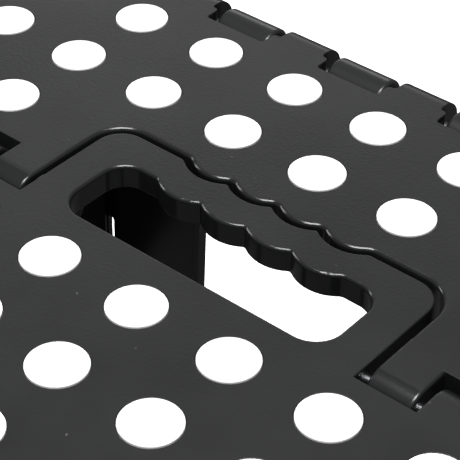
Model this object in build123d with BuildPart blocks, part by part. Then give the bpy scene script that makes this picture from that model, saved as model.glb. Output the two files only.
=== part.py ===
"""Folding step stool in black plastic with white tread dots.

The seat is two halves hinged along its centre line. Each half is hinged to a leg along its outer
edge, and the two legs are joined at both ends by a pair of end panels hinged on upright pins.
Lifting the handle raises the centre line, the legs come together and the end panels fold inwards.

Frame: millimetres, +Z up, origin on the floor under the middle of the seat. The fold line runs
along X. The front half of the seat, the one with the handle, lies at -Y. Every half-piece is drawn
on the +Y side, and the front ones are mirrored.
"""

import os
from math import atan2, cos, radians, sin, sqrt, tan

from build123d import *

# ---------------------------------------------------------------- seat
seat_length = 290.0
seat_depth = 222.0
seat_height = 225.0  # top of the plastic, without the dots
seat_plate = 3.0
seat_skirt = 11.7  # height of the skirts and ribs, plate included
skirt_wall = 2.6
rib_wall = 2.0
seat_edge_round = 1.0
tolerance = 0.001  # for picking edges by their place or radius

# ---------------------------------------------------------------- hinges of the seat
knuckle_radius = 7.7  # also the depth of all the seat's hinge lines below its top
hinge_clearance = 0.4
fold_angle = 83.0  # how far each half of the seat tilts when the stool is folded
fold_clearance = 0.3
rod_radius = 2.0
bore_clearance = 0.05
rod_end_gap = 1.5
rod_chamfer = 0.4

leg_line_y = seat_depth / 2 - knuckle_radius
hinge_z = seat_height - knuckle_radius
pocket_y = knuckle_radius + hinge_clearance
skirt_z = seat_height - seat_skirt

# ---------------------------------------------------------------- handle and finger grip
handle_half_width = 57.6
handle_reach = 32.5  # from the fold line to the outer edge of the grip bar
handle_depth = 7.3  # from the top of the seat to the underside of the grip
handle_corner = 8.5
handle_gap = 2.2  # between the handle and the recess round it
handle_edge_round = 0.5
recess_edge_round = 1.2
recess_wall = 2.6
grip_bar_width = 11.5
opening_half_width = 45.5
opening_reach_back = 5.4  # from the fold line into the front half
opening_far_corner = 7.5
opening_near_corner = 8.5
opening_edge_round = 1.0
finger_pitch = 15.8
finger_count = 4
finger_depth = 3.5
finger_radius = 12.5
finger_peak_radius = 1.2
finger_shoulder_radius = 2.5
handle_core_wall = 2.6
handle_core_start = 10.0

fold_rod_start = opening_half_width + handle_core_wall + hinge_clearance

# ---------------------------------------------------------------- knuckles on the fold line
tab_gap = 2.3
tab_widths = (13.8, 23.5, 20.2)  # rear, front, rear, from the handle out; the last front one ends the row
tab_round = 1.0

# ---------------------------------------------------------------- knuckles on the leg lines
barrel_count = 6
barrel_pitch = 44.1
barrel_width = 20.4
barrel_radius = 7.0
barrel_round = 1.2
notch_side_gap = 1.2
notch_depth_gap = 1.5
notch_wall = 3.5
notch_mouth_gap = 3.8
notch_mouth_depth = 6.0  # how far in from the axis side the wide mouth begins
notch_corner = 1.2

# ---------------------------------------------------------------- tread dots
dot_radius = 8.4
dot_columns = 9
dot_column_pitch = 30.8
dot_rows = 3
dot_fold_gap = 5.5  # between the flanges of the first row and the edge of the fold
dot_edge_gap = 0.9  # between the flanges of the last row and the bar along the outer edge
dot_root_gap = 0.6  # between the flanges of the first row and the roots of handle and knuckles
dot_proud = 0.4
dot_edge_round = 0.35
dot_flange_radius = 9.6
dot_flange = 1.2
dot_hole_chamfer = 0.25
dot_handle_margin = 3.0

notch_depth = barrel_radius + notch_depth_gap
edge_bar_y = leg_line_y - notch_depth - notch_wall
dot_first_row = pocket_y + dot_fold_gap + dot_flange_radius
dot_last_row = edge_bar_y - dot_edge_gap - dot_flange_radius
dot_row_pitch = (dot_last_row - dot_first_row) / (dot_rows - 1)
root_y = dot_first_row - dot_flange_radius - dot_root_gap

# ---------------------------------------------------------------- legs
leg_skin = 2.8
leg_end_overhang = 4.0  # how far the foot of the leg stands out past its top
leg_bottom_z = 2.5
leg_bottom_corner = 6.0
leg_outer_offset = 7.0  # outer face of the leg, outside the hinge line
leg_inner_offset = 7.4  # inner edge of the deep flanges, inside the hinge line
leg_top_gap = 0.6  # under the round edge of the seat
leg_flange = 2.5
leg_rib = 2.5
leg_field_margin = 9.0
leg_field_depth = 0.6
arch_top_drop = 59.0  # from the top of the leg to the top of its arch
arch_half_width_top = 89.5
arch_half_width_bottom = 93.4
arch_corner = 28.0
arch_rim_width = 2.5
arch_rim_depth = 4.4
foot_box_height = 60.0
upper_rib_drops = (8.0, 33.0)  # from the top of the leg
centre_rib_x = (-22.0, 0.0, 22.0)

leg_half_width_top = seat_length / 2
leg_half_width_bottom = leg_half_width_top + leg_end_overhang
leg_top_z = hinge_z - knuckle_radius - leg_top_gap
arch_top_z = leg_top_z - arch_top_drop
upper_rib_z = [leg_top_z - drop for drop in upper_rib_drops]
outer_y = leg_line_y + leg_outer_offset
inner_y = leg_line_y - leg_inner_offset
skin_y = outer_y - leg_skin

# ---------------------------------------------------------------- end panels and their pins
panel_inset = 6.5  # from the end of the seat to the upright hinge axes, in the panels' outer faces
panel_thickness = 3.4
panel_skin = 2.0
panel_rib = 3.0
panel_top_gap = 0.4  # under the knuckles of the seat
panel_foot_gap = 4.0  # between the leg's foot box and the panel's bottom edge
panel_arch_rise = 42.0  # of the bottom edge, from the leg to the centre
panel_knuckle_radius = 3.5
panel_knuckle_clearance = 0.5
panel_end_gap = 0.6  # between stacked knuckles
panel_rest_gap = 0.3
pin_radius = 1.25
pin_chamfer = 0.25
leg_knuckle_height = 16.0
leg_knuckle_count = 3
leg_knuckle_root = 2.0  # how far the root of a leg's knuckle reaches inwards from the pin
centre_knuckle_count = 5
slot_width = 3.0
slot_height = 25.7
slot_shift = 3.1  # from the pins, towards the middle
slot_gap = 2.0  # between a slot and the knuckle below it
rest_lug_length = 4.0

panel_line_x = seat_length / 2 - panel_inset
panel_top_z = hinge_z - knuckle_radius - panel_top_gap
panel_foot_z = foot_box_height + panel_foot_gap
panel_arch_z = panel_foot_z + panel_arch_rise
leg_knuckle_step = (leg_top_z - leg_knuckle_height - panel_foot_z) / (leg_knuckle_count - 1)
leg_knuckle_levels = [panel_foot_z + i * leg_knuckle_step for i in range(leg_knuckle_count)]
centre_knuckle_step = (panel_top_z - panel_arch_z + panel_end_gap) / centre_knuckle_count

# ---------------------------------------------------------------- feet
foot_length = 46.0
foot_width = 12.6
foot_stud_radius = 3.0
foot_stud_pitch = 26.0
foot_stud_lip = 1.0
foot_centre_x = 121.0
foot_edge_round = 1.0
foot_corner = 3.0
foot_flange = 4.0


# ---------------------------------------------------------------- shared outlines
def grip_arcs(line_y, grow):
    """Arcs of the finger grip from left to right, as start, middle and end points.

    Round hollows alternate with small round peaks, tangent to each other, and a shoulder at each
    end runs into the straight edge at line_y. grow moves the whole edge out by that distance.
    """
    centre_y = line_y - finger_depth + finger_radius
    reach = finger_radius + finger_peak_radius
    peak_y = centre_y - sqrt(reach**2 - (finger_pitch / 2) ** 2)
    shoulder_y = line_y - finger_shoulder_radius
    shoulder_reach = finger_radius + finger_shoulder_radius
    shoulder_x = sqrt(shoulder_reach**2 - (centre_y - shoulder_y) ** 2)
    first_x = -(finger_count - 1) / 2 * finger_pitch

    hollow = finger_radius - grow
    circles = [(first_x - shoulder_x, shoulder_y, finger_shoulder_radius + grow)]
    for i in range(finger_count):
        circles.append((first_x + i * finger_pitch, centre_y, hollow))
        if i < finger_count - 1:
            circles.append((first_x + (i + 0.5) * finger_pitch, peak_y, finger_peak_radius + grow))
    circles.append((-first_x + shoulder_x, shoulder_y, finger_shoulder_radius + grow))

    joints = [(circles[0][0], line_y + grow)]
    for (xa, ya, ra), (xb, yb, rb) in zip(circles, circles[1:]):
        share = ra / (ra + rb)
        joints.append((xa + (xb - xa) * share, ya + (yb - ya) * share))
    joints.append((circles[-1][0], line_y + grow))

    arcs = []
    for i, (x, y, r) in enumerate(circles):
        start, end = joints[i], joints[i + 1]
        towards = ((start[0] + end[0]) / 2 - x, (start[1] + end[1]) / 2 - y)
        angle = atan2(towards[1], towards[0])
        arcs.append((start, (x + r * cos(angle), y + r * sin(angle)), end))
    return arcs


def corner_arc(x, y, r, x_sign, y_sign):
    """Start, middle and end of a quarter round in the corner (x, y), from its upright side on."""
    near = r * (1 - sqrt(0.5))
    return (
        (x, y - y_sign * r),
        (x - x_sign * near, y - y_sign * near),
        (x - x_sign * r, y),
    )


def grip_outline(half_width, line_y, far_corner, base_y, near_corner=0.0, grow=0.0):
    """Face bounded by two sides, a base and a finger grip edge, drawn with the grip at +Y."""
    half = half_width + grow
    far = line_y + grow
    base = base_y - (grow if near_corner else 0.0)
    r_far = far_corner + grow
    r_near = near_corner + grow if near_corner else 0.0
    arcs = grip_arcs(line_y, grow)
    with BuildLine() as outline:
        Line((-half, base + r_near), (-half, far - r_far))
        ThreePointArc(*corner_arc(-half, far, r_far, -1, 1))
        Line((-half + r_far, far), arcs[0][0])
        for arc in arcs:
            ThreePointArc(*arc)
        Line(arcs[-1][2], (half - r_far, far))
        ThreePointArc(*corner_arc(half, far, r_far, 1, 1))
        Line((half, far - r_far), (half, base + r_near))
        if near_corner:
            ThreePointArc(*corner_arc(half, base, r_near, 1, -1))
        Line((half - r_near, base), (-half + r_near, base))
        if near_corner:
            ThreePointArc(*corner_arc(-half, base, r_near, -1, -1))
    return make_face(outline.edges(), mode=Mode.PRIVATE)


def rows_of(count, pitch):
    """Centred row of positions."""
    return [(i - (count - 1) / 2) * pitch for i in range(count)]


def tab_ranges(front):
    """X ranges, on the +X side, of the knuckles that one half has on the fold line."""
    start = handle_half_width + handle_gap
    ranges = []
    for width in tab_widths:
        ranges.append((start, start + width))
        start += width + tab_gap
    ranges.append((start, seat_length / 2))
    return ranges[1::2] if front else ranges[0::2]


def dot_places(front):
    """Centres of one half's dots, drawn on the +Y side."""
    blocked = handle_half_width + handle_gap + dot_radius + dot_handle_margin
    places = []
    for row in range(dot_rows):
        y = dot_first_row + row * dot_row_pitch
        behind_handle = not front and y - dot_radius < handle_reach + handle_gap
        for x in rows_of(dot_columns, dot_column_pitch):
            if not (behind_handle and abs(x) < blocked):
                places.append((x, y))
    return places


# ---------------------------------------------------------------- seat halves
def seat_half(front):
    """One half of the seat on the +Y side: ribbed plate, round outer edge and hinge knuckles."""
    half_length = seat_length / 2
    span = leg_line_y - pocket_y
    rib_top = seat_height - seat_plate / 2
    recess = grip_outline(handle_half_width, handle_reach, handle_corner, 0.0, grow=handle_gap)
    rim_grow = handle_gap + recess_wall
    recess_rim = grip_outline(handle_half_width, handle_reach, handle_corner, 0.0, grow=rim_grow)
    below_fold = fold_limit()
    notches = [notch_outline(x) for x in rows_of(barrel_count, barrel_pitch)]
    tabs = [fold_tab(low, high) for low, high in tab_ranges(front)]
    tabs += [fold_tab(-high, -low) for low, high in tab_ranges(front)]
    grip = handle_block() if front else None
    leg_bore = rod_radius + bore_clearance
    fold_bore = rod_radius if front else rod_radius + bore_clearance

    with BuildPart() as half:
        # top plate
        with BuildSketch(Plane.XY.offset(seat_height - seat_plate)):
            with Locations((0, pocket_y + span / 2)):
                Rectangle(seat_length, span)
        extrude(amount=seat_plate)

        # skirts, ribs between the dots and, in the rear half, a wall round the handle's recess
        with BuildSketch(Plane.XY.offset(skirt_z)):
            with Locations((0, pocket_y + span / 2)):
                Rectangle(seat_length, span)
                Rectangle(seat_length - 2 * skirt_wall, span - 2 * skirt_wall, mode=Mode.SUBTRACT)
            for x in rows_of(dot_columns - 1, dot_column_pitch):
                with Locations((x, pocket_y + span / 2)):
                    Rectangle(rib_wall, span)
            for row in range(1, dot_rows):
                with Locations((0, dot_first_row + (row - 0.5) * dot_row_pitch)):
                    Rectangle(seat_length - skirt_wall, rib_wall)
            if not front:
                add(recess_rim)
        extrude(amount=rib_top - skirt_z)

        # lugs that rest on the end panels when the stool stands open
        with BuildSketch(Plane.XY.offset(panel_top_z + panel_rest_gap)):
            for side in (-1, 1):
                x = side * (panel_line_x - panel_thickness / 2)
                with Locations((x, edge_bar_y + rest_lug_length / 2)):
                    Rectangle(panel_thickness, rest_lug_length)
        extrude(amount=rib_top - panel_top_z - panel_rest_gap)

        # round outer edge, solid along its whole length
        with BuildSketch(Plane.YZ.offset(-half_length)):
            with Locations((leg_line_y, hinge_z)):
                Circle(knuckle_radius)
            with Locations(((edge_bar_y + leg_line_y) / 2, (seat_height + skirt_z) / 2)):
                Rectangle(leg_line_y - edge_bar_y, seat_height - skirt_z)
        extrude(amount=seat_length)

        # nothing reaches past the plane where the folded halves meet
        with BuildSketch(Plane.YZ.offset(-half_length)):
            add(below_fold)
        extrude(amount=seat_length, mode=Mode.SUBTRACT)

        # recess for the handle, in the rear half only, with a round rim
        if not front:
            with BuildSketch():
                add(recess)
            extrude(amount=2 * seat_height, mode=Mode.SUBTRACT)
            top_edges = half.faces().sort_by(Axis.Z)[-1].edges()
            inside = handle_half_width + handle_gap + handle_edge_round
            fillet(
                top_edges.filter_by(
                    lambda e: abs(e.center().X) < inside and pocket_y < e.center().Y < edge_bar_y
                ),
                recess_edge_round,
            )

        # rounded ends of the plate
        end_edges = half.edges().filter_by(Axis.Y).group_by(Axis.Z)[-1]
        fillet(end_edges.filter_by(lambda e: abs(e.center().X) > half_length - skirt_wall), seat_edge_round)

        # knuckles on the fold line, and the handle in the front half
        for tab in tabs:
            add(tab)
        if front:
            add(grip)

        # stepped notches that clear the leg's barrels
        with BuildSketch(Plane.XY.offset(panel_top_z)):
            for notch in notches:
                add(notch)
        extrude(amount=seat_height, mode=Mode.SUBTRACT)

        # bores for the rods
        with BuildSketch(Plane.YZ.offset(-half_length)):
            with Locations((leg_line_y, hinge_z)):
                Circle(leg_bore)
        extrude(amount=seat_length, mode=Mode.SUBTRACT)
        for side in (-1, 1):
            with BuildSketch(Plane.YZ.offset(side * fold_rod_start)):
                with Locations((0, hinge_z)):
                    Circle(fold_bore)
            extrude(amount=side * (half_length - fold_rod_start), mode=Mode.SUBTRACT)

        # holes for the dots, with a broken upper edge
        with BuildSketch(Plane.XY.offset(seat_height - seat_plate)):
            with Locations(*dot_places(front)):
                Circle(dot_radius)
        extrude(amount=seat_plate, mode=Mode.SUBTRACT)
        rims = half.edges().filter_by(GeomType.CIRCLE).group_by(Axis.Z)[-1]
        chamfer(rims.filter_by(lambda e: abs(e.radius - dot_radius) < tolerance), dot_hole_chamfer)
    return half.part


def fold_limit():
    """Everything below the plane where the two halves meet when folded, as a face in Y and Z."""
    drop = seat_depth / 2 * tan(radians(90 - fold_angle))
    top = hinge_z + fold_clearance
    with BuildSketch(mode=Mode.PRIVATE) as below:
        with BuildLine():
            Polyline((0, top), (seat_depth / 2, top - drop), (seat_depth / 2, 0), (0, 0), close=True)
        make_face()
    return below.sketch


def fold_tab(low, high):
    """Knuckle on the fold line between two X values, with its root in the plate."""
    with BuildPart() as tab:
        with BuildSketch(Plane.YZ.offset(low)):
            with Locations((0, hinge_z)):
                Circle(knuckle_radius)
            with Locations((root_y / 2, seat_height - knuckle_radius / 2)):
                Rectangle(root_y, knuckle_radius)
        extrude(amount=high - low)
        round_edges = tab.edges().filter_by(
            lambda e: min(abs(e.center().X - low), abs(e.center().X - high)) < tolerance
        )
        fillet(round_edges.filter_by(lambda e: e.center().Z > hinge_z), tab_round)
    return tab.part


def handle_block():
    """Handle with its finger grip, hand opening and hinge knuckles, reaching to -Y, cored from below."""
    bottom_z = seat_height - handle_depth
    opening_line = handle_reach - grip_bar_width
    outline = grip_outline(handle_half_width, handle_reach, handle_corner, -root_y)
    opening = grip_outline(
        opening_half_width, opening_line, opening_far_corner, -opening_reach_back, opening_near_corner
    )
    core_end = handle_reach - finger_depth - handle_core_wall
    core_half = handle_half_width - handle_core_wall
    eye_half = opening_half_width + handle_core_wall
    eye_end = opening_line + handle_core_wall
    with BuildPart() as block:
        with BuildSketch(Plane.XY.offset(bottom_z)):
            add(outline)
        extrude(amount=handle_depth)
        with BuildSketch(Plane.XY.offset(bottom_z)):
            with Locations((0, (handle_core_start + core_end) / 2)):
                Rectangle(2 * core_half, core_end - handle_core_start)
            with Locations((0, (handle_core_start + eye_end) / 2)):
                Rectangle(2 * eye_half, eye_end - handle_core_start, mode=Mode.SUBTRACT)
        extrude(amount=handle_depth - seat_plate, mode=Mode.SUBTRACT)
        outer = block.faces().sort_by(Axis.Z)[-1].edges()
        fillet(outer.filter_by(lambda e: e.center().Y > 0), handle_edge_round)
        with BuildSketch(Plane.XY.offset(bottom_z)):
            add(opening)
        extrude(amount=handle_depth, mode=Mode.SUBTRACT)
        rim = block.faces().sort_by(Axis.Z)[-1].inner_wires()[0].edges()
        fillet(rim, opening_edge_round)
        for side in (-1, 1):
            with BuildSketch(Plane.YZ.offset(side * eye_half)):
                with Locations((0, hinge_z)):
                    Circle(knuckle_radius)
            extrude(amount=side * (handle_half_width - eye_half))
    return mirror(block.part, about=Plane.XZ)


def notch_outline(x):
    """Plan of one notch in the seat's outer edge: a deep middle and a wider mouth."""
    half_deep = barrel_width / 2 + notch_side_gap
    half_mouth = barrel_width / 2 + notch_mouth_gap
    bottom = leg_line_y - notch_depth
    step = bottom + notch_mouth_depth
    outside = seat_depth / 2 + knuckle_radius
    with BuildSketch(mode=Mode.PRIVATE) as notch:
        with BuildLine():
            Polyline(
                (x - half_deep, bottom),
                (x + half_deep, bottom),
                (x + half_deep, step),
                (x + half_mouth, step),
                (x + half_mouth, outside),
                (x - half_mouth, outside),
                (x - half_mouth, step),
                (x - half_deep, step),
                close=True,
            )
        make_face()
        fillet(notch.vertices().filter_by(lambda v: v.Y < leg_line_y), notch_corner)
    return notch.sketch


# ---------------------------------------------------------------- dots
def tread_dots(front):
    """One half's dots, each a separate plug with a flange under the plate."""
    with BuildPart() as dots:
        with BuildSketch(Plane.XY.offset(seat_height - seat_plate - dot_flange)):
            with Locations(*dot_places(front)):
                Circle(dot_flange_radius)
        extrude(amount=dot_flange)
        with BuildSketch(Plane.XY.offset(seat_height - seat_plate)):
            with Locations(*dot_places(front)):
                Circle(dot_radius)
        extrude(amount=seat_plate + dot_proud)
        fillet(dots.edges().group_by(Axis.Z)[-1], dot_edge_round)
    return dots.part


# ---------------------------------------------------------------- leg
def outer_half(z):
    """Half width of the leg at height z."""
    share = (leg_top_z - z) / (leg_top_z - leg_bottom_z)
    return leg_half_width_top + (leg_half_width_bottom - leg_half_width_top) * share


def arch_half(z):
    """Half width of the arch at height z, below its round corners."""
    share = (arch_top_z - z) / (arch_top_z - leg_bottom_z)
    return arch_half_width_top + (arch_half_width_bottom - arch_half_width_top) * share


def tapered_face(half_width, top, bottom):
    """Symmetrical trapezium in X and Z with its sides where half_width(z) puts them."""
    with BuildSketch(mode=Mode.PRIVATE) as face:
        with BuildLine():
            Polyline(
                (-half_width(top), top),
                (half_width(top), top),
                (half_width(bottom), bottom),
                (-half_width(bottom), bottom),
                close=True,
            )
        make_face()
    return face.sketch


def strip_face(side, start, end, top, bottom):
    """Strip in X and Z between the edges start(z) and end(z), on one side."""
    with BuildSketch(mode=Mode.PRIVATE) as strip:
        with BuildLine():
            Polyline(
                (side * start(top), top),
                (side * end(top), top),
                (side * end(bottom), bottom),
                (side * start(bottom), bottom),
                close=True,
            )
        make_face()
    return strip.sketch


def arch_view(grow):
    """Front view of the arch, with its sides and top moved out by grow, as a face in X and Z."""
    arch_face = tapered_face(lambda z: arch_half(z) + grow, arch_top_z + grow, leg_bottom_z)
    with BuildSketch(mode=Mode.PRIVATE) as arch:
        add(arch_face)
        fillet(arch.vertices().group_by(Axis.Y)[-1], arch_corner + grow)
    return arch.sketch


def leg_front_view():
    """Front view of the leg: a tapered panel with a round-cornered arch, as a face in X and Z."""
    arch = arch_view(0.0)
    panel_face = tapered_face(outer_half, leg_top_z, leg_bottom_z)
    with BuildSketch(mode=Mode.PRIVATE) as view:
        add(panel_face)
        fillet(view.vertices().group_by(Axis.Y)[0], leg_bottom_corner)
        add(arch, mode=Mode.SUBTRACT)
    return view.sketch


def leg_flanges():
    """Deep flanges of the leg, as faces in X and Z: its ends and a ribbed box over each foot."""
    top, bottom, box = leg_top_z, leg_bottom_z, foot_box_height
    faces = []
    for side in (-1, 1):
        faces.append(strip_face(side, outer_half, lambda z: outer_half(z) - leg_flange, top, bottom))
        faces.append(strip_face(side, arch_half, lambda z: arch_half(z) + leg_flange, box, bottom))
        faces.append(strip_face(side, arch_half, outer_half, bottom + foot_flange, bottom))
        faces.append(strip_face(side, arch_half, outer_half, box, box - leg_rib))
        with BuildSketch(mode=Mode.PRIVATE) as middle:
            with Locations((side * foot_centre_x, (box + bottom) / 2)):
                Rectangle(leg_rib, box - bottom)
        faces.append(middle.sketch)
    return faces


def leg():
    """Leg on the +Y side: a thin skin with barrels on top, deep flanges at its ends and feet."""
    outer_plane = Plane.XZ.offset(-outer_y)  # its normal is -Y, so an extrusion goes inwards
    front_view = leg_front_view()
    flanges = leg_flanges()
    arch_rim = arch_view(arch_rim_width) - arch_view(0.0)
    wide_reach = panel_line_x - 2 * panel_knuckle_radius
    ribs = [(z, tapered_rib(wide_reach)) for z in upper_rib_z]
    ribs.append((arch_top_z + leg_rib / 2, tapered_rib(arch_half_width_top - arch_corner)))
    barrels = [leg_barrel(x) for x in rows_of(barrel_count, barrel_pitch)]
    with BuildPart() as part:
        with BuildSketch(outer_plane):
            add(front_view)
        extrude(amount=leg_skin)
        with BuildSketch(outer_plane):
            add(arch_rim)
        extrude(amount=arch_rim_depth)
        with BuildSketch(outer_plane):
            add(front_view)
            offset(amount=-leg_field_margin, kind=Kind.INTERSECTION)
        extrude(amount=leg_field_depth, mode=Mode.SUBTRACT)

        # deep flanges
        with BuildSketch(outer_plane):
            for flange in flanges:
                add(flange)
            add(front_view, mode=Mode.INTERSECT)
        extrude(amount=outer_y - inner_y)

        # ribs that leave room for the folded end panels, and short uprights between them
        for z, rib in ribs:
            with BuildSketch(Plane.XY.offset(z - leg_rib / 2)):
                add(rib)
            extrude(amount=leg_rib)
        with BuildSketch(Plane.XY.offset(arch_top_z)):
            for x in centre_rib_x:
                with Locations((x, (inner_y + skin_y) / 2)):
                    Rectangle(leg_rib, skin_y - inner_y)
        extrude(amount=upper_rib_z[0] - arch_top_z)

        # barrels on the seat's hinge line
        for barrel in barrels:
            add(barrel)

        # knuckles for the end panels' pins
        for side in (-1, 1):
            for level in leg_knuckle_levels:
                with BuildSketch(Plane.XY.offset(level)):
                    with Locations((side * panel_line_x, leg_line_y)):
                        Circle(panel_knuckle_radius)
                    root_x = panel_line_x + (panel_knuckle_radius - leg_knuckle_root) / 2
                    with Locations((side * root_x, (leg_line_y + skin_y) / 2)):
                        Rectangle(panel_knuckle_radius + leg_knuckle_root, skin_y - leg_line_y)
                extrude(amount=leg_knuckle_height)
            with BuildSketch(Plane.XY.offset(panel_foot_z)):
                with Locations((side * panel_line_x, leg_line_y)):
                    Circle(pin_radius)
            extrude(amount=leg_top_z - panel_foot_z, mode=Mode.SUBTRACT)

        # moulding slots over the two lower knuckles of each row
        with BuildSketch(outer_plane):
            for side in (-1, 1):
                for level in leg_knuckle_levels[:-1]:
                    z = level + leg_knuckle_height + slot_gap + slot_height / 2
                    with Locations((side * (panel_line_x - slot_shift), z)):
                        SlotOverall(slot_height, slot_width, rotation=90)
        extrude(amount=leg_skin, mode=Mode.SUBTRACT)

        # rod bore and stud holes
        with BuildSketch(Plane.YZ.offset(-seat_length / 2)):
            with Locations((leg_line_y, hinge_z)):
                Circle(rod_radius)
        extrude(amount=seat_length, mode=Mode.SUBTRACT)
        with BuildSketch(Plane.XY.offset(leg_bottom_z)):
            with Locations(*foot_stud_places()):
                Circle(foot_stud_radius)
        extrude(amount=foot_flange, mode=Mode.SUBTRACT)
    return part.part


def tapered_rib(reach):
    """Plan of a rib inside the leg, cut back along the line of the folded end panel."""
    slope = tan(radians(90 - fold_angle))
    clear_y = leg_line_y + panel_thickness + panel_end_gap
    full_x = panel_line_x - (clear_y - inner_y) / slope
    tip_y = max(inner_y, clear_y - (panel_line_x - reach) * slope)
    points = [(reach, skin_y), (reach, tip_y)]
    if full_x < reach:
        points.append((full_x, inner_y))
    points += [(-x, y) for x, y in reversed(points)]
    with BuildSketch(mode=Mode.PRIVATE) as rib:
        with BuildLine():
            Polyline(*points, close=True)
        make_face()
    return rib.sketch


def leg_barrel(x):
    """Barrel at x on the hinge line, joined to the skin below it."""
    with BuildPart() as barrel:
        with BuildSketch(Plane.YZ.offset(x - barrel_width / 2)):
            with Locations((leg_line_y, hinge_z)):
                Circle(barrel_radius)
        extrude(amount=barrel_width)
        fillet(barrel.edges().filter_by(GeomType.CIRCLE), barrel_round)
        with BuildSketch(Plane.YZ.offset(x - barrel_width / 2 + barrel_round)):
            with Locations(((skin_y + outer_y) / 2, (leg_top_z + hinge_z) / 2)):
                Rectangle(leg_skin, hinge_z - leg_top_z)
        extrude(amount=barrel_width - 2 * barrel_round)
    return barrel.part


def foot_stud_places():
    """Centres of the studs that hold the two feet of one leg."""
    shifts = (-foot_stud_pitch / 2, foot_stud_pitch / 2)
    return [(side * foot_centre_x + shift, leg_line_y) for side in (-1, 1) for shift in shifts]


# ---------------------------------------------------------------- end panels
def knuckle_gaps(rear):
    """Where an end panel leaves room for its neighbours' knuckles: Y of the pin, bottom and top."""
    gaps = []
    for low in leg_knuckle_levels:
        gaps.append((leg_line_y, low - panel_end_gap, low + leg_knuckle_height + panel_end_gap))
    for i in range(centre_knuckle_count):
        belongs_to_rear = i % 2 == 0
        if belongs_to_rear != rear:
            low = panel_arch_z + i * centre_knuckle_step
            gaps.append((0.0, low - panel_end_gap, low + centre_knuckle_step))
    return gaps


def end_panel(rear):
    """Right-hand end panel on the +Y side, between the centre pin and the leg's pin."""
    side_plane = Plane.YZ.offset(panel_line_x - panel_thickness)
    arch_radius = (leg_line_y**2 + panel_arch_rise**2) / (2 * panel_arch_rise)
    fields = panel_fields(arch_radius)
    centre_bore = pin_radius if rear else pin_radius + bore_clearance
    pins = ((0.0, panel_arch_z, centre_bore), (leg_line_y, panel_foot_z, pin_radius + bore_clearance))
    with BuildPart() as panel:
        # side view: straight top, arched bottom
        with BuildSketch(side_plane):
            with Locations((leg_line_y / 2, (panel_foot_z + panel_top_z) / 2)):
                Rectangle(leg_line_y, panel_top_z - panel_foot_z)
            with Locations((0, panel_arch_z - arch_radius)):
                Circle(arch_radius, mode=Mode.SUBTRACT)
        extrude(amount=panel_thickness)

        # coring of the inner face between its ribs
        with BuildSketch(side_plane):
            add(fields)
        extrude(amount=panel_thickness - panel_skin, mode=Mode.SUBTRACT)

        # knuckles over the whole height of both pins, then room for the neighbours' ones
        for y, bottom, _ in pins:
            with BuildSketch(Plane.XY.offset(bottom)):
                with Locations((panel_line_x, y)):
                    Circle(panel_knuckle_radius)
            extrude(amount=panel_top_z - bottom)
        for y, low, high in knuckle_gaps(rear):
            with BuildSketch(Plane.XY.offset(low)):
                with Locations((panel_line_x, y)):
                    Circle(panel_knuckle_radius + panel_knuckle_clearance)
            extrude(amount=high - low, mode=Mode.SUBTRACT)
        for y, bottom, bore in pins:
            with BuildSketch(Plane.XY.offset(bottom)):
                with Locations((panel_line_x, y)):
                    Circle(bore)
            extrude(amount=panel_top_z - bottom, mode=Mode.SUBTRACT)
    return panel.part


def panel_fields(arch_radius):
    """Cored fields of an end panel's inner face, as faces in Y and Z."""
    near = panel_knuckle_radius + panel_knuckle_clearance + panel_rib
    width = (leg_line_y - 2 * near - panel_rib) / 2
    with BuildSketch(mode=Mode.PRIVATE) as fields:
        for column in range(2):
            y = near + width / 2 + column * (width + panel_rib)
            with Locations((y, (panel_foot_z + panel_top_z) / 2)):
                Rectangle(width, panel_top_z - panel_foot_z - 2 * panel_rib)
        with Locations((leg_line_y / 2, (panel_arch_z + panel_top_z) / 2)):
            Rectangle(leg_line_y, panel_rib, mode=Mode.SUBTRACT)
        with Locations((0, panel_arch_z - arch_radius)):
            Circle(arch_radius + panel_rib, mode=Mode.SUBTRACT)
    return fields.sketch


# ---------------------------------------------------------------- rods, pins and feet
def seat_rod(x0, x1, y):
    """Rod of one of the seat's hinges."""
    with BuildPart() as rod:
        with BuildSketch(Plane.YZ.offset(x0)):
            with Locations((y, hinge_z)):
                Circle(rod_radius)
        extrude(amount=x1 - x0)
        chamfer(rod.edges().filter_by(GeomType.CIRCLE), rod_chamfer)
    return rod.part


def upright_pin(y, bottom):
    """Right-hand pin of an end panel, from bottom to the panel's top."""
    with BuildPart() as pin:
        with BuildSketch(Plane.XY.offset(bottom)):
            with Locations((panel_line_x, y)):
                Circle(pin_radius)
        extrude(amount=panel_top_z - bottom)
        chamfer(pin.edges().filter_by(GeomType.CIRCLE), pin_chamfer)
    return pin.part


def foot(side):
    """Rubber foot on the +Y side, with two studs that plug into the leg."""
    with BuildPart() as pad:
        with BuildSketch():
            with Locations((side * foot_centre_x, leg_line_y)):
                RectangleRounded(foot_length, foot_width, foot_corner)
        extrude(amount=leg_bottom_z)
        fillet(pad.edges().group_by(Axis.Z)[0], foot_edge_round)
        with BuildSketch(Plane.XY.offset(leg_bottom_z)):
            with Locations(*[place for place in foot_stud_places() if place[0] * side > 0]):
                Circle(foot_stud_radius)
        extrude(amount=foot_flange + foot_stud_lip)
    return pad.part


# ---------------------------------------------------------------- assembly
def to_front(part):
    """The same piece on the -Y side."""
    return mirror(part, about=Plane.XZ)


def to_left(part):
    """The same piece on the -X side."""
    return mirror(part, about=Plane.YZ)


rear_leg = leg()
pieces = {
    "seat_rear": seat_half(front=False),
    "seat_front": to_front(seat_half(front=True)),
    "tread_dots_rear": tread_dots(front=False),
    "tread_dots_front": to_front(tread_dots(front=True)),
    "leg_rear": rear_leg,
    "leg_front": to_front(rear_leg),
}

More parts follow.
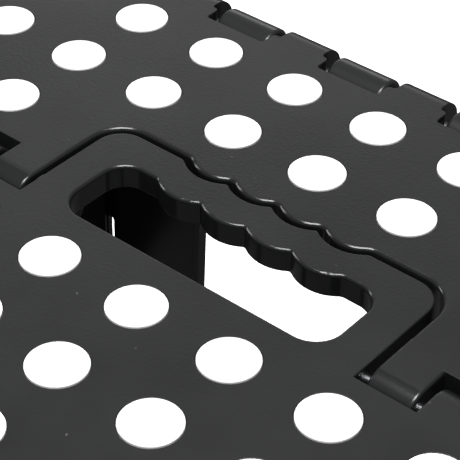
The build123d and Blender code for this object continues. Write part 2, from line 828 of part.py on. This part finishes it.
rod_end_x = seat_length / 2 - rod_end_gap
rear_rod = seat_rod(-rod_end_x, rod_end_x, leg_line_y)
pieces["leg_rod_rear"] = rear_rod
pieces["leg_rod_front"] = to_front(rear_rod)
pieces["fold_rod_right"] = seat_rod(fold_rod_start, rod_end_x, 0.0)
pieces["fold_rod_left"] = seat_rod(-rod_end_x, -fold_rod_start, 0.0)

rear_panel = end_panel(rear=True)
front_panel = to_front(end_panel(rear=False))
leg_pin = upright_pin(leg_line_y, panel_foot_z)
centre_pin = upright_pin(0.0, panel_arch_z)
for name, right in (("end_panel_{}_rear", rear_panel), ("end_panel_{}_front", front_panel)):
    pieces[name.format("right")] = right
    pieces[name.format("left")] = to_left(right)
for name, right in (("leg_pin_{}_rear", leg_pin), ("leg_pin_{}_front", to_front(leg_pin))):
    pieces[name.format("right")] = right
    pieces[name.format("left")] = to_left(right)
pieces["centre_pin_right"] = centre_pin
pieces["centre_pin_left"] = to_left(centre_pin)

for side, name in ((1, "right"), (-1, "left")):
    rubber = foot(side)
    pieces[f"foot_{name}_rear"] = rubber
    pieces[f"foot_{name}_front"] = to_front(rubber)

os.makedirs("parts", exist_ok=True)
for name, piece in pieces.items():
    piece.label = name
    export_step(piece, f"parts/{name}.step")
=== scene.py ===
"""Folding step stool in black plastic with white rubber dots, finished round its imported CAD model.

Metres, +Z up, origin on the floor under the middle of the seat. -Y is the half with the handle.
"""

from math import cos, pi, radians, sin

import bpy
import numpy as np
from mathutils import Matrix, Vector


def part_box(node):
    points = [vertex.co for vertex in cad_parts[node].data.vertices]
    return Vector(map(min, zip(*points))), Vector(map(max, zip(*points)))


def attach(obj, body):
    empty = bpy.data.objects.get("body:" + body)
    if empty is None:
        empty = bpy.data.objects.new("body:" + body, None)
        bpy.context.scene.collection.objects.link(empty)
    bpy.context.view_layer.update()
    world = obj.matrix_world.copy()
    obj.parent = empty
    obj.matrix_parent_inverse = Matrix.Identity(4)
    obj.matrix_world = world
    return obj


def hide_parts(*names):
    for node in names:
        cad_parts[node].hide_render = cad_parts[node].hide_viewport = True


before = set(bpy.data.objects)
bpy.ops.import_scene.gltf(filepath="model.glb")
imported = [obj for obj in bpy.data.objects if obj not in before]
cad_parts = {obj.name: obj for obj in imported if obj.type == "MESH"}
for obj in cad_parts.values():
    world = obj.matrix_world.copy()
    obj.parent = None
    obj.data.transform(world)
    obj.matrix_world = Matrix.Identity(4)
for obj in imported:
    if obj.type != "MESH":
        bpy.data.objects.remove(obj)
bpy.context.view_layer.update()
mm = 0.001

# ---------------------------------------------------------------- camera and studio
# A long lens looks down over the front half of the seat from the right. The stool stands on a
# seamless white ground, between a large soft lamp above, a wide one behind and a narrow one on the left.
camera_position = (0.2326, -0.2697, 0.5189)
camera_heading = -39.365
camera_pitch = -38.463
camera_roll = 0.950
camera_lens = 137.54

camera_data = bpy.data.cameras.new("camera")
camera_data.lens = camera_lens
camera_data.sensor_width = 36.0
camera_data.clip_start = 0.01
camera = bpy.data.objects.new("camera", camera_data)
ahead = Vector((
    sin(radians(camera_heading)) * cos(radians(camera_pitch)),
    cos(radians(camera_heading)) * cos(radians(camera_pitch)),
    sin(radians(camera_pitch)),
))
aim = ahead.to_track_quat("-Z", "Y").to_matrix() @ Matrix.Rotation(radians(camera_roll), 3, "Z")
camera.matrix_world = Matrix.Translation(camera_position) @ aim.to_4x4()
bpy.context.scene.collection.objects.link(camera)
bpy.context.scene.camera = camera
bpy.context.scene.view_settings.view_transform = "Standard"

lamp_target = (0.0, 0.0, 0.2)


def soft_lamp(name, place, size, watts):
    """Rectangular soft lamp at place, turned towards the seat."""
    data = bpy.data.lights.new(name, "AREA")
    data.shape = "RECTANGLE"
    data.size, data.size_y = size
    data.energy = watts
    lamp = bpy.data.objects.new(name, data)
    turn = (Vector(lamp_target) - Vector(place)).to_track_quat("-Z", "Y").to_matrix().to_4x4()
    lamp.matrix_world = Matrix.Translation(place) @ turn
    bpy.context.scene.collection.objects.link(lamp)


soft_lamp("lamp_above", (0.15, -0.25, 1.5), (0.8, 0.5), 26.0)
soft_lamp("lamp_left", (-1.5, -0.3, 0.8), (0.3, 0.8), 4.5)
soft_lamp("lamp_behind", (-1.5, 1.8, 1.05), (1.4, 0.5), 4.5)


class Shade:
    """A socket of a finish. Arithmetic on shades adds Math nodes to the same finish."""

    def __init__(self, tree, socket=None):
        self.tree = tree
        self.socket = socket

    def node(self, kind, settings, inputs, output=0):
        """Output of a new node: its settings are set first, then its sockets filled or linked."""
        made = self.tree.nodes.new(kind)
        for key, value in settings.items():
            setattr(made, key, value)
        for key, value in inputs.items():
            if isinstance(value, Shade):
                self.tree.links.new(value.socket, made.inputs[key])
            else:
                made.inputs[key].default_value = value
        return Shade(self.tree, made.outputs[output])

    def maths(self, operation, first, second):
        """Result of one Math node."""
        return self.node("ShaderNodeMath", {"operation": operation}, {0: first, 1: second})

    def __add__(self, other):
        return self.maths("ADD", self, other)

    def __sub__(self, other):
        return self.maths("SUBTRACT", self, other)

    def __rsub__(self, other):
        return self.maths("SUBTRACT", other, self)

    def __mul__(self, other):
        return self.maths("MULTIPLY", self, other)

    __radd__ = __add__
    __rmul__ = __mul__


def ramp(value, low, high, start=0.0, end=1.0):
    """Smooth step of value from start at low to end at high."""
    ends = {"Value": value, "From Min": low, "From Max": high, "To Min": start, "To Max": end}
    return value.node("ShaderNodeMapRange", {"interpolation_type": "SMOOTHSTEP"}, ends)


# The sky brightens from the floor up, between two heights of a direction, 1 being straight up.
floor_strength = 0.11
sky_strength = 0.23
sky_low = -0.05
sky_high = 0.35
sky = bpy.data.worlds.new("studio")
sky.use_nodes = True
background = sky.node_tree.nodes["Background"].inputs
background["Color"].default_value = (1.0, 1.0, 1.0, 1.0)
direction = Shade(sky.node_tree).node("ShaderNodeTexCoord", {}, {}, "Generated")
upward = direction.node("ShaderNodeSeparateXYZ", {}, {"Vector": direction}, "Z")
brightness = ramp(upward, sky_low, sky_high, floor_strength, sky_strength)
sky.node_tree.links.new(brightness.socket, background["Strength"])
bpy.context.scene.world = sky


def ring_quads(rings, turns):
    """Quads between stacked rings of turns points each: corner i, i + 1, and the two above them."""
    ring = np.arange(rings - 1)[:, None] * turns
    step = np.arange(turns)
    after = (step + 1) % turns
    quads = np.stack([ring + step, ring + after, ring + after + turns, ring + step + turns], axis=2)
    return quads.reshape(-1, 4)


# The ground is a white sweep: a flat disc whose rim turns up all round as a quarter circle.
sweep_floor = 4.0
sweep_rise = 5.0
sweep_rings = 17
sweep_turns = 96
ground_glow = 0.8
rim_arc = np.linspace(0.0, pi / 2, sweep_rings)[:, None]
rim_angle = np.arange(sweep_turns) * 2 * pi / sweep_turns
rim_radius = sweep_floor + sweep_rise * np.sin(rim_arc)
rim_level = np.repeat(sweep_rise * (1 - np.cos(rim_arc)), sweep_turns, axis=1)
rim_points = np.stack([rim_radius * np.cos(rim_angle), rim_radius * np.sin(rim_angle), rim_level], axis=2)
rim_quads = ring_quads(sweep_rings, sweep_turns)[:, ::-1]  # turned to face the stool
ground_mesh = bpy.data.meshes.new("ground")
ground_mesh.from_pydata(
    rim_points.reshape(-1, 3).tolist(), [], [list(range(sweep_turns))] + rim_quads.tolist()
)
ground_mesh.shade_smooth()
ground = bpy.data.objects.new("ground", ground_mesh)
bpy.context.scene.collection.objects.link(ground)
# The plastic mirrors the dark lower sky instead of the white ground, and the rim shades no lamp.
ground.visible_glossy = False
ground.visible_diffuse = False
ground.visible_shadow = False
ground_paint = bpy.data.materials.new("ground_paint")
ground_paint.use_nodes = True
painted = ground_paint.node_tree.nodes["Principled BSDF"].inputs
painted["Base Color"].default_value = (0.9, 0.9, 0.9, 1.0)
painted["Roughness"].default_value = 0.9
painted["Emission Color"].default_value = (1.0, 1.0, 1.0, 1.0)
painted["Emission Strength"].default_value = ground_glow
ground_mesh.materials.append(ground_paint)


# ---------------------------------------------------------------- seat halves
# Two injection-moulded polypropylene plates, ribbed below and hinged to each other on steel rods.
# Their tops carry a fine leather grain from the mould, and every wall below it is polished.
def new_finish(name):
    """Material with an empty tree, and the shade of its Object coordinates."""
    finish = bpy.data.materials.new(name)
    finish.use_nodes = True
    finish.node_tree.nodes.clear()
    place = Shade(finish.node_tree).node("ShaderNodeTexCoord", {}, {}, "Object")
    return finish, place


def close_finish(finish, sockets):
    """Principled surface with the given sockets, joined to the material's output."""
    tree = finish.node_tree
    surface = Shade(tree).node("ShaderNodeBsdfPrincipled", {}, sockets)
    tree.links.new(surface.socket, tree.nodes.new("ShaderNodeOutputMaterial").inputs["Surface"])


def stretched(place, scale):
    """Coordinates scaled apart along X, Y and Z, for streaks and drawn lines."""
    return place.node("ShaderNodeMapping", {}, {"Vector": place, "Scale": scale})


def noise(place, scale, detail=3.0, roughness=0.5):
    """Soft noise from 0 to 1, scale being the number of lumps in a metre."""
    sizes = {"Vector": place, "Scale": scale, "Detail": detail, "Roughness": roughness}
    return place.node("ShaderNodeTexNoise", {}, sizes)


def mixed(factor, first, second):
    """Colour between first and second by factor."""
    colours = {0: factor, 6: first, 7: second}
    return factor.node("ShaderNodeMix", {"data_type": "RGBA"}, colours, 2)


def softened(place, radius, height, depth):
    """Normal of a surface with its sharp edges rounded to radius, and height as relief of depth."""
    normal = place.node("ShaderNodeBevel", {"samples": 6}, {"Radius": radius})
    return place.node("ShaderNodeBump", {}, {"Height": height, "Distance": depth, "Normal": normal})


seat_black = (0.0085, 0.0088, 0.0093, 1.0)
seat_cloud = (0.0125, 0.0129, 0.0135, 1.0)
dust_colour = (0.10, 0.10, 0.095, 1.0)
seat_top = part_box("seat_front")[1][2]
grain_top = 0.02 * mm  # the grain ends between these depths below the top, so every rim is polished
grain_bottom = 0.18 * mm
grain_depth = 0.045 * mm
seat_edge = 0.35 * mm  # radius that a sharp edge is shaded with
plastic_ior = 1.49


def seat_plastic():
    """Black polypropylene, satin and grained on top and glossy on its walls, with a little dust."""
    finish, place = new_finish("seat_plastic")
    height = place.node("ShaderNodeSeparateXYZ", {}, {"Vector": place}, "Z")
    top = ramp(height, seat_top - grain_bottom, seat_top - grain_top)
    clouds = noise(place, 28.0)
    handling = noise(place, 9.0, 5.0, 0.65)
    pebbles = {"Vector": place, "Scale": 1050.0, "Smoothness": 0.4}
    cells = place.node("ShaderNodeTexVoronoi", {"feature": "SMOOTH_F1"}, pebbles)
    creases = noise(place, 2300.0, 2.0)
    grain = cells * 0.7 + creases * 0.5
    specks = ramp(noise(place, 420.0, 1.0), 0.79, 0.83) * ramp(noise(place, 60.0, 2.0), 0.45, 0.65)
    tone = mixed(ramp(clouds, 0.3, 0.7), seat_black, seat_cloud)
    rubbed = ramp(handling, 0.35, 0.7, -0.035, 0.045)
    close_finish(finish, {
        "Base Color": mixed(specks * top * 0.55, tone, dust_colour),
        "Roughness": 0.2 + top * 0.2 + rubbed + specks * 0.2,
        "Normal": softened(place, seat_edge, grain * top + clouds * 0.6, grain_depth),
        "IOR": plastic_ior,
    })
    return finish


def give(names, finish):
    """Assign a finish to CAD nodes."""
    for name in names:
        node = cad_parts[name]
        node.data.materials.clear()
        node.data.materials.append(finish)


give(["seat_front", "seat_rear"], seat_plastic())

# ---------------------------------------------------------------- tread dots
# White rubber plugs moulded through the seat's holes, each held by a flange under the plate. Their
# tops stand a hair proud, with a soft rim and a barely crowned middle, so that shoes grip them.
dot_columns = 9
dot_rows = 3
dot_flange_radius = 9.6 * mm
dot_radius = 8.26 * mm  # a hair smaller than its hole, which leaves the fine dark line round it
dot_plate = 3.0 * mm
dot_flange = 1.2 * mm
dot_flange_chamfer = 0.25 * mm
dot_gap = 0.02 * mm  # between the top of the flange and the underside of the plate
dot_proud = 0.4 * mm
dot_rim = 0.22 * mm
dot_crown = 0.1 * mm
dot_dimple = 0.3 * mm
dot_dimple_reach = 0.55  # of the flange's radius
dot_turns = 56
white_clean = (0.86, 0.86, 0.85, 1.0)
white_yellowed = (0.82, 0.82, 0.80, 1.0)
white_soiled = (0.55, 0.54, 0.50, 1.0)
handle_clear = 71.0 * mm  # half the width that the handle's recess takes out of the first row
crease_angle = radians(40.0)  # steeper edges than this stay sharp


def closed_rings(rings, low, high):
    """Shell of stacked rings of points: quads between them, and a fan to the pole at each end."""
    count, turns = rings.shape[:2]
    points = np.vstack([rings.reshape(-1, 3), [low, high]])
    last = (count - 1) * turns
    step = np.arange(turns)
    after = (step + 1) % turns
    bottom = np.stack([np.full(turns, len(points) - 2), after, step], axis=1)
    top = np.stack([np.full(turns, len(points) - 1), last + step, last + after], axis=1)
    return points, ring_quads(count, turns), np.vstack([bottom, top])


def turned(radius, level, turns):
    """Closed turned surface: ring i has radius(i) at level(i); a point is (r cos a, r sin a, z).

    The first and last rings have no radius, so each becomes a pole.
    """
    angle = np.arange(turns) * 2 * pi / turns
    rings = radius[1:-1, None]
    z = np.repeat(level[1:-1, None], turns, axis=1)
    points = np.stack([rings * np.cos(angle), rings * np.sin(angle), z], axis=2)
    return closed_rings(points, [0, 0, level[0]], [0, 0, level[-1]])


def piece_mesh(name, shells, finish):
    """Object of several shells, each of points, quads and triangles, with a material."""
    points, faces, base = [], [], 0
    for shell_points, quads, triangles in shells:
        points.append(shell_points)
        faces += (quads + base).tolist() + (triangles + base).tolist()
        base += len(shell_points)
    mesh = bpy.data.meshes.new(name)
    mesh.from_pydata(np.vstack(points).tolist(), [], faces)
    mesh.materials.append(finish)
    mesh.shade_smooth()
    mesh.set_sharp_from_angle(angle=crease_angle)
    piece = bpy.data.objects.new(name, mesh)
    bpy.context.scene.collection.objects.link(piece)
    return piece


def dot_shell():
    """Plug about the Z axis from its dimpled underside to its crowned top.

    Underside: z rises to a shallow dimple as cos squared of the radius. Top: a quarter circle rim,
    then a crown that falls from the middle as the square of the radius.
    """
    inner = np.linspace(0.0, dot_dimple_reach, 7)
    dimple_r = inner * dot_flange_radius
    dimple_z = dot_dimple * np.cos(inner / dot_dimple_reach * pi / 2) ** 2 - dot_plate - dot_flange
    flange_r = dot_flange_radius - dot_flange_chamfer * np.array([1, 0, 0, 1])
    flange_z = np.array([0.0, dot_flange_chamfer, dot_flange - dot_flange_chamfer, dot_flange - dot_gap])
    flange_z = flange_z - dot_plate - dot_flange
    stem_r = np.array([dot_radius, dot_radius])
    stem_z = np.array([-dot_plate - dot_gap, -dot_rim])
    arc = np.linspace(0.0, pi / 2, 7)
    rim_r = dot_radius - dot_rim * (1 - np.cos(arc))
    rim_z = dot_proud - dot_crown - dot_rim * (1 - np.sin(arc))
    share = np.linspace(1.0, 0.0, 7)[1:]
    top_r = share * (dot_radius - dot_rim)
    top_z = dot_proud - dot_crown * share**2
    radius = np.concatenate([dimple_r, flange_r, stem_r, rim_r, top_r])
    level = np.concatenate([dimple_z, flange_z, stem_z, rim_z, top_z])
    return turned(radius, level, dot_turns)


def dot_rubber():
    """Matt white rubber with a faint pebble, yellowed and greyed a little in patches."""
    finish, place = new_finish("dot_rubber")
    patches = noise(place, 24.0, 4.0)
    soil = ramp(noise(place, 190.0, 5.0, 0.7), 0.62, 0.8)
    pebble = noise(place, 2600.0, 2.0)
    clean = mixed(ramp(patches, 0.35, 0.7), white_clean, white_yellowed)
    close_finish(finish, {
        "Base Color": mixed(soil * 0.16, clean, white_soiled),
        "Roughness": 0.62 + patches * 0.2,
        "Normal": place.node("ShaderNodeBump", {}, {"Height": pebble, "Distance": 0.03 * mm}),
        "IOR": 1.5,
    })
    return finish


white_rubber = dot_rubber()
plug_points, plug_quads, plug_triangles = dot_shell()
for side, body in (("front", "front_seat"), ("rear", "rear_seat")):
    low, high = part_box(f"tread_dots_{side}")
    columns = np.linspace(low[0] + dot_flange_radius, high[0] - dot_flange_radius, dot_columns)
    rows = np.linspace(low[1] + dot_flange_radius, high[1] - dot_flange_radius, dot_rows)
    plugs = []
    for row in rows:
        beside_handle = side == "rear" and row == rows[0]
        for column in columns:
            if not (beside_handle and abs(column) < handle_clear):
                plugs.append((plug_points + [column, row, seat_top], plug_quads, plug_triangles))
    dots = piece_mesh(f"rubber_dots_{side}", plugs, white_rubber)
    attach(dots, body)
    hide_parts(f"tread_dots_{side}")

# ---------------------------------------------------------------- legs
# Two arched side plates, moulded in the same black as the seat but polished all over. The plastic
# entered the mould at the top, so faint flow lines run down, and the feet are scuffed grey.
leg_black = (0.0150, 0.0154, 0.0160, 1.0)
leg_scuffed = (0.055, 0.055, 0.053, 1.0)
scuff_height = 45.0 * mm
leg_edge = 0.4 * mm
leg_relief = 0.06 * mm


def leg_plastic():
    """Glossy black plastic with flow lines down the leg and fine scuffs towards the floor."""
    finish, place = new_finish("leg_plastic")
    height = place.node("ShaderNodeSeparateXYZ", {}, {"Vector": place}, "Z")
    flow = noise(stretched(place, (1.0, 1.0, 0.12)), 60.0, 4.0)
    waves = noise(place, 30.0, 2.0)
    scratches = ramp(noise(stretched(place, (1.0, 1.0, 9.0)), 160.0, 3.0), 0.62, 0.74)
    scuffs = scratches * ramp(height, 0.0, scuff_height, 1.0, 0.0)
    satin = noise(place, 1800.0, 2.0)
    close_finish(finish, {
        "Base Color": mixed(scuffs * 0.7, leg_black, leg_scuffed),
        "Roughness": 0.24 + flow * 0.1 + scuffs * 0.2,
        "Normal": softened(place, leg_edge, waves + satin * 0.12 - scuffs * 0.2, leg_relief),
        "IOR": plastic_ior,
    })
    return finish


give(["leg_front", "leg_rear"], leg_plastic())

# ---------------------------------------------------------------- end panels
# Two thin black panels at each end, hinged to the legs and to each other on upright pins, so that
# they fold inwards. Their outer faces are spark-eroded to a dull, even texture.
panel_black = (0.0150, 0.0154, 0.0160, 1.0)
panel_bloom = (0.0210, 0.0214, 0.0220, 1.0)
panel_edge = 0.3 * mm
panel_relief = 0.05 * mm


def panel_plastic():
    """Dull black plastic with an even fine texture and a slight bloom in patches."""
    finish, place = new_finish("panel_plastic")
    bloom = noise(place, 14.0, 4.0, 0.6)
    sparks = noise(place, 1500.0, 3.0, 0.7)
    close_finish(finish, {
        "Base Color": mixed(ramp(bloom, 0.4, 0.7), panel_black, panel_bloom),
        "Roughness": 0.38 + bloom * 0.14,
        "Normal": softened(place, panel_edge, sparks + bloom * 0.5, panel_relief),
        "IOR": plastic_ior,
    })
    return finish


ends = [f"end_panel_{side}_{half}" for side in ("right", "left") for half in ("front", "rear")]
give(ends, panel_plastic())

# ---------------------------------------------------------------- hinge rods and pins
# Zinc-plated steel wire, drawn and then sheared to length, with its ends broken by a small radius.
# The rods lie in the seat's knuckles and barrels, and the thinner pins stand in the end panels.
rod_turns = 32
rod_end_share = 0.22  # of the radius, taken by the rounded end
rod_end_dish = 0.04  # of the radius, the depth that shearing leaves in the middle of the end
zinc_bright = (0.56, 0.57, 0.58, 1.0)
zinc_dull = (0.43, 0.44, 0.46, 1.0)


def drawn_rod(name, node, finish):
    """Rod with the length and radius of its CAD node: r falls to the end as a quarter circle."""
    low, high = (np.array(corner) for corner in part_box(node))
    size = high - low
    along = int(np.argmax(size))
    radius = size[(along + 1) % 3] / 2
    half = size[along] / 2
    soft = radius * rod_end_share
    arc = np.linspace(0.0, pi / 2, 5)
    end_r = radius - soft * (1 - np.sin(arc))
    end_z = -half + soft * (1 - np.cos(arc))
    face = np.linspace(0.0, 1.0, 4)[:-1]
    face_r = face * end_r[0]
    face_z = -half + rod_end_dish * radius * np.cos(face * pi / 2)
    radii = np.concatenate([face_r, end_r])
    levels = np.concatenate([face_z, end_z])
    radii = np.concatenate([radii, radii[::-1]])
    levels = np.concatenate([levels, -levels[::-1]])
    points, quads, triangles = turned(radii, levels, rod_turns)
    points = np.roll(points, along - 2, axis=1) + (low + high) / 2
    return piece_mesh(name, [(points, quads, triangles)], finish)


def zinc_steel(name, stretch):
    """Bright zinc plate over drawn steel, with lines along the wire and duller patches."""
    finish, place = new_finish(name)
    drawn = noise(stretched(place, stretch), 900.0, 3.0)
    patches = noise(place, 120.0, 3.0)
    close_finish(finish, {
        "Base Color": mixed(ramp(patches, 0.3, 0.7), zinc_bright, zinc_dull),
        "Metallic": 1.0,
        "Roughness": 0.2 + drawn * 0.16 + patches * 0.1,
        "Normal": place.node("ShaderNodeBump", {}, {"Height": drawn, "Distance": 0.01 * mm}),
    })
    return finish


rod_steel = zinc_steel("rod_steel", (0.02, 1.0, 1.0))
pin_steel = zinc_steel("pin_steel", (1.0, 1.0, 0.02))
rod_bodies = {
    "leg_rod_front": "front_leg",
    "leg_rod_rear": "rear_leg",
    "fold_rod_right": "front_seat",
    "fold_rod_left": "front_seat",
}
pin_bodies = {}
for side in ("right", "left"):
    pin_bodies[f"leg_pin_{side}_front"] = "front_leg"
    pin_bodies[f"leg_pin_{side}_rear"] = "rear_leg"
    pin_bodies[f"centre_pin_{side}"] = f"{side}_rear_panel"
for bodies, steel in ((rod_bodies, rod_steel), (pin_bodies, pin_steel)):
    for node, body in bodies.items():
        rod = drawn_rod(f"steel_{node}", node, steel)
        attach(rod, body)
        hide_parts(node)

# ---------------------------------------------------------------- feet
# Four black rubber pads under the legs, each held by two studs pushed into holes in the plastic.
# The sole is grooved across, and the side bulges a little under load.
foot_stud_radius = 3.0 * mm
foot_stud_pitch = 26.0 * mm
foot_pad = 2.5 * mm
foot_corner_power = 7.0
groove_count = 9
groove_depth = 0.5 * mm
foot_bulge = 0.25 * mm
foot_chamfer = 0.35 * mm
foot_turns = 144
foot_stud_turns = 32
sole_reach = 0.96  # where the flat of the sole ends, as a share of the way to the side
sole_fade = 8.0  # how fast the grooves end towards the side
rubber_black = (0.012, 0.012, 0.012, 1.0)
rubber_dust = (0.10, 0.095, 0.085, 1.0)


def foot_shells(node):
    """Pad and studs of one foot.

    The pad's outline is a superellipse, |x/a|^p + |y/b|^p = 1. Its rings run from the middle of
    the sole outwards, up the side, where the outline bulges as a sine, and back over the top. The
    sole is cut by grooves, cos squared of x, that fade out towards the rim.
    """
    low, high = (np.array(corner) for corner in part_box(node))
    middle = (low + high) / 2 * [1, 1, 0]
    half_x, half_y = (high - low)[:2] / 2 - foot_bulge
    angle = np.arange(foot_turns) * 2 * pi / foot_turns
    c, s = np.cos(angle), np.sin(angle)
    power = foot_corner_power
    reach = (np.abs(c) ** power + np.abs(s) ** power) ** (-1 / power)
    sole = np.linspace(0.0, sole_reach, 9)[1:]
    side = np.linspace(0.0, 1.0, 9)
    top = np.linspace(0.9, 0.3, 3)
    side_level = foot_chamfer + side * (foot_pad - 2 * foot_chamfer)
    share = np.concatenate([sole, np.ones(len(side)), top])[:, None]
    grow = np.concatenate([0 * sole, np.sin(side * pi) * foot_bulge, 0 * top])[:, None]
    level = np.concatenate([0 * sole, side_level, 0 * top + foot_pad])[:, None]
    x = share * (reach * c * half_x) + grow * c
    y = share * (reach * s * half_y) + grow * s
    fade = np.clip((1 - share) * sole_fade, 0, 1) * (level == 0)
    z = level + groove_depth * np.cos(x / half_x * groove_count * pi / 2) ** 2 * fade
    pad, quads, triangles = closed_rings(np.stack([x, y, z], axis=2), [0, 0, groove_depth], [0, 0, foot_pad])
    shells = [(pad + middle, quads, triangles)]

    length = high[2] - foot_pad
    stud_r = np.array([0.0, 1.0, 1.0, 0.8, 0.5, 0.0]) * foot_stud_radius
    stud_z = np.array([0.02, 0.02, 0.86, 0.97, 1.0, 1.0]) * length + foot_pad
    for shift in (-foot_stud_pitch / 2, foot_stud_pitch / 2):
        stud, quads, triangles = turned(stud_r, stud_z, foot_stud_turns)
        shells.append((stud + middle + [shift, 0, 0], quads, triangles))
    return shells


def foot_rubber():
    """Dull black rubber, greyed by dust from the floor upwards."""
    finish, place = new_finish("foot_rubber")
    height = place.node("ShaderNodeSeparateXYZ", {}, {"Vector": place}, "Z")
    dust = ramp(noise(place, 260.0, 4.0, 0.7), 0.4, 0.75) * ramp(height, 0.0, foot_pad, 1.0, 0.25)
    pores = noise(place, 2100.0, 2.0)
    close_finish(finish, {
        "Base Color": mixed(dust * 0.5, rubber_black, rubber_dust),
        "Roughness": 0.7 + dust * 0.2,
        "Normal": place.node("ShaderNodeBump", {}, {"Height": pores, "Distance": 0.04 * mm}),
    })
    return finish


sole_rubber = foot_rubber()
for side in ("right", "left"):
    for half, body in (("front", "front_leg"), ("rear", "rear_leg")):
        node = f"foot_{side}_{half}"
        pad = piece_mesh(f"rubber_{node}", foot_shells(node), sole_rubber)
        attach(pad, body)
        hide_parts(node)
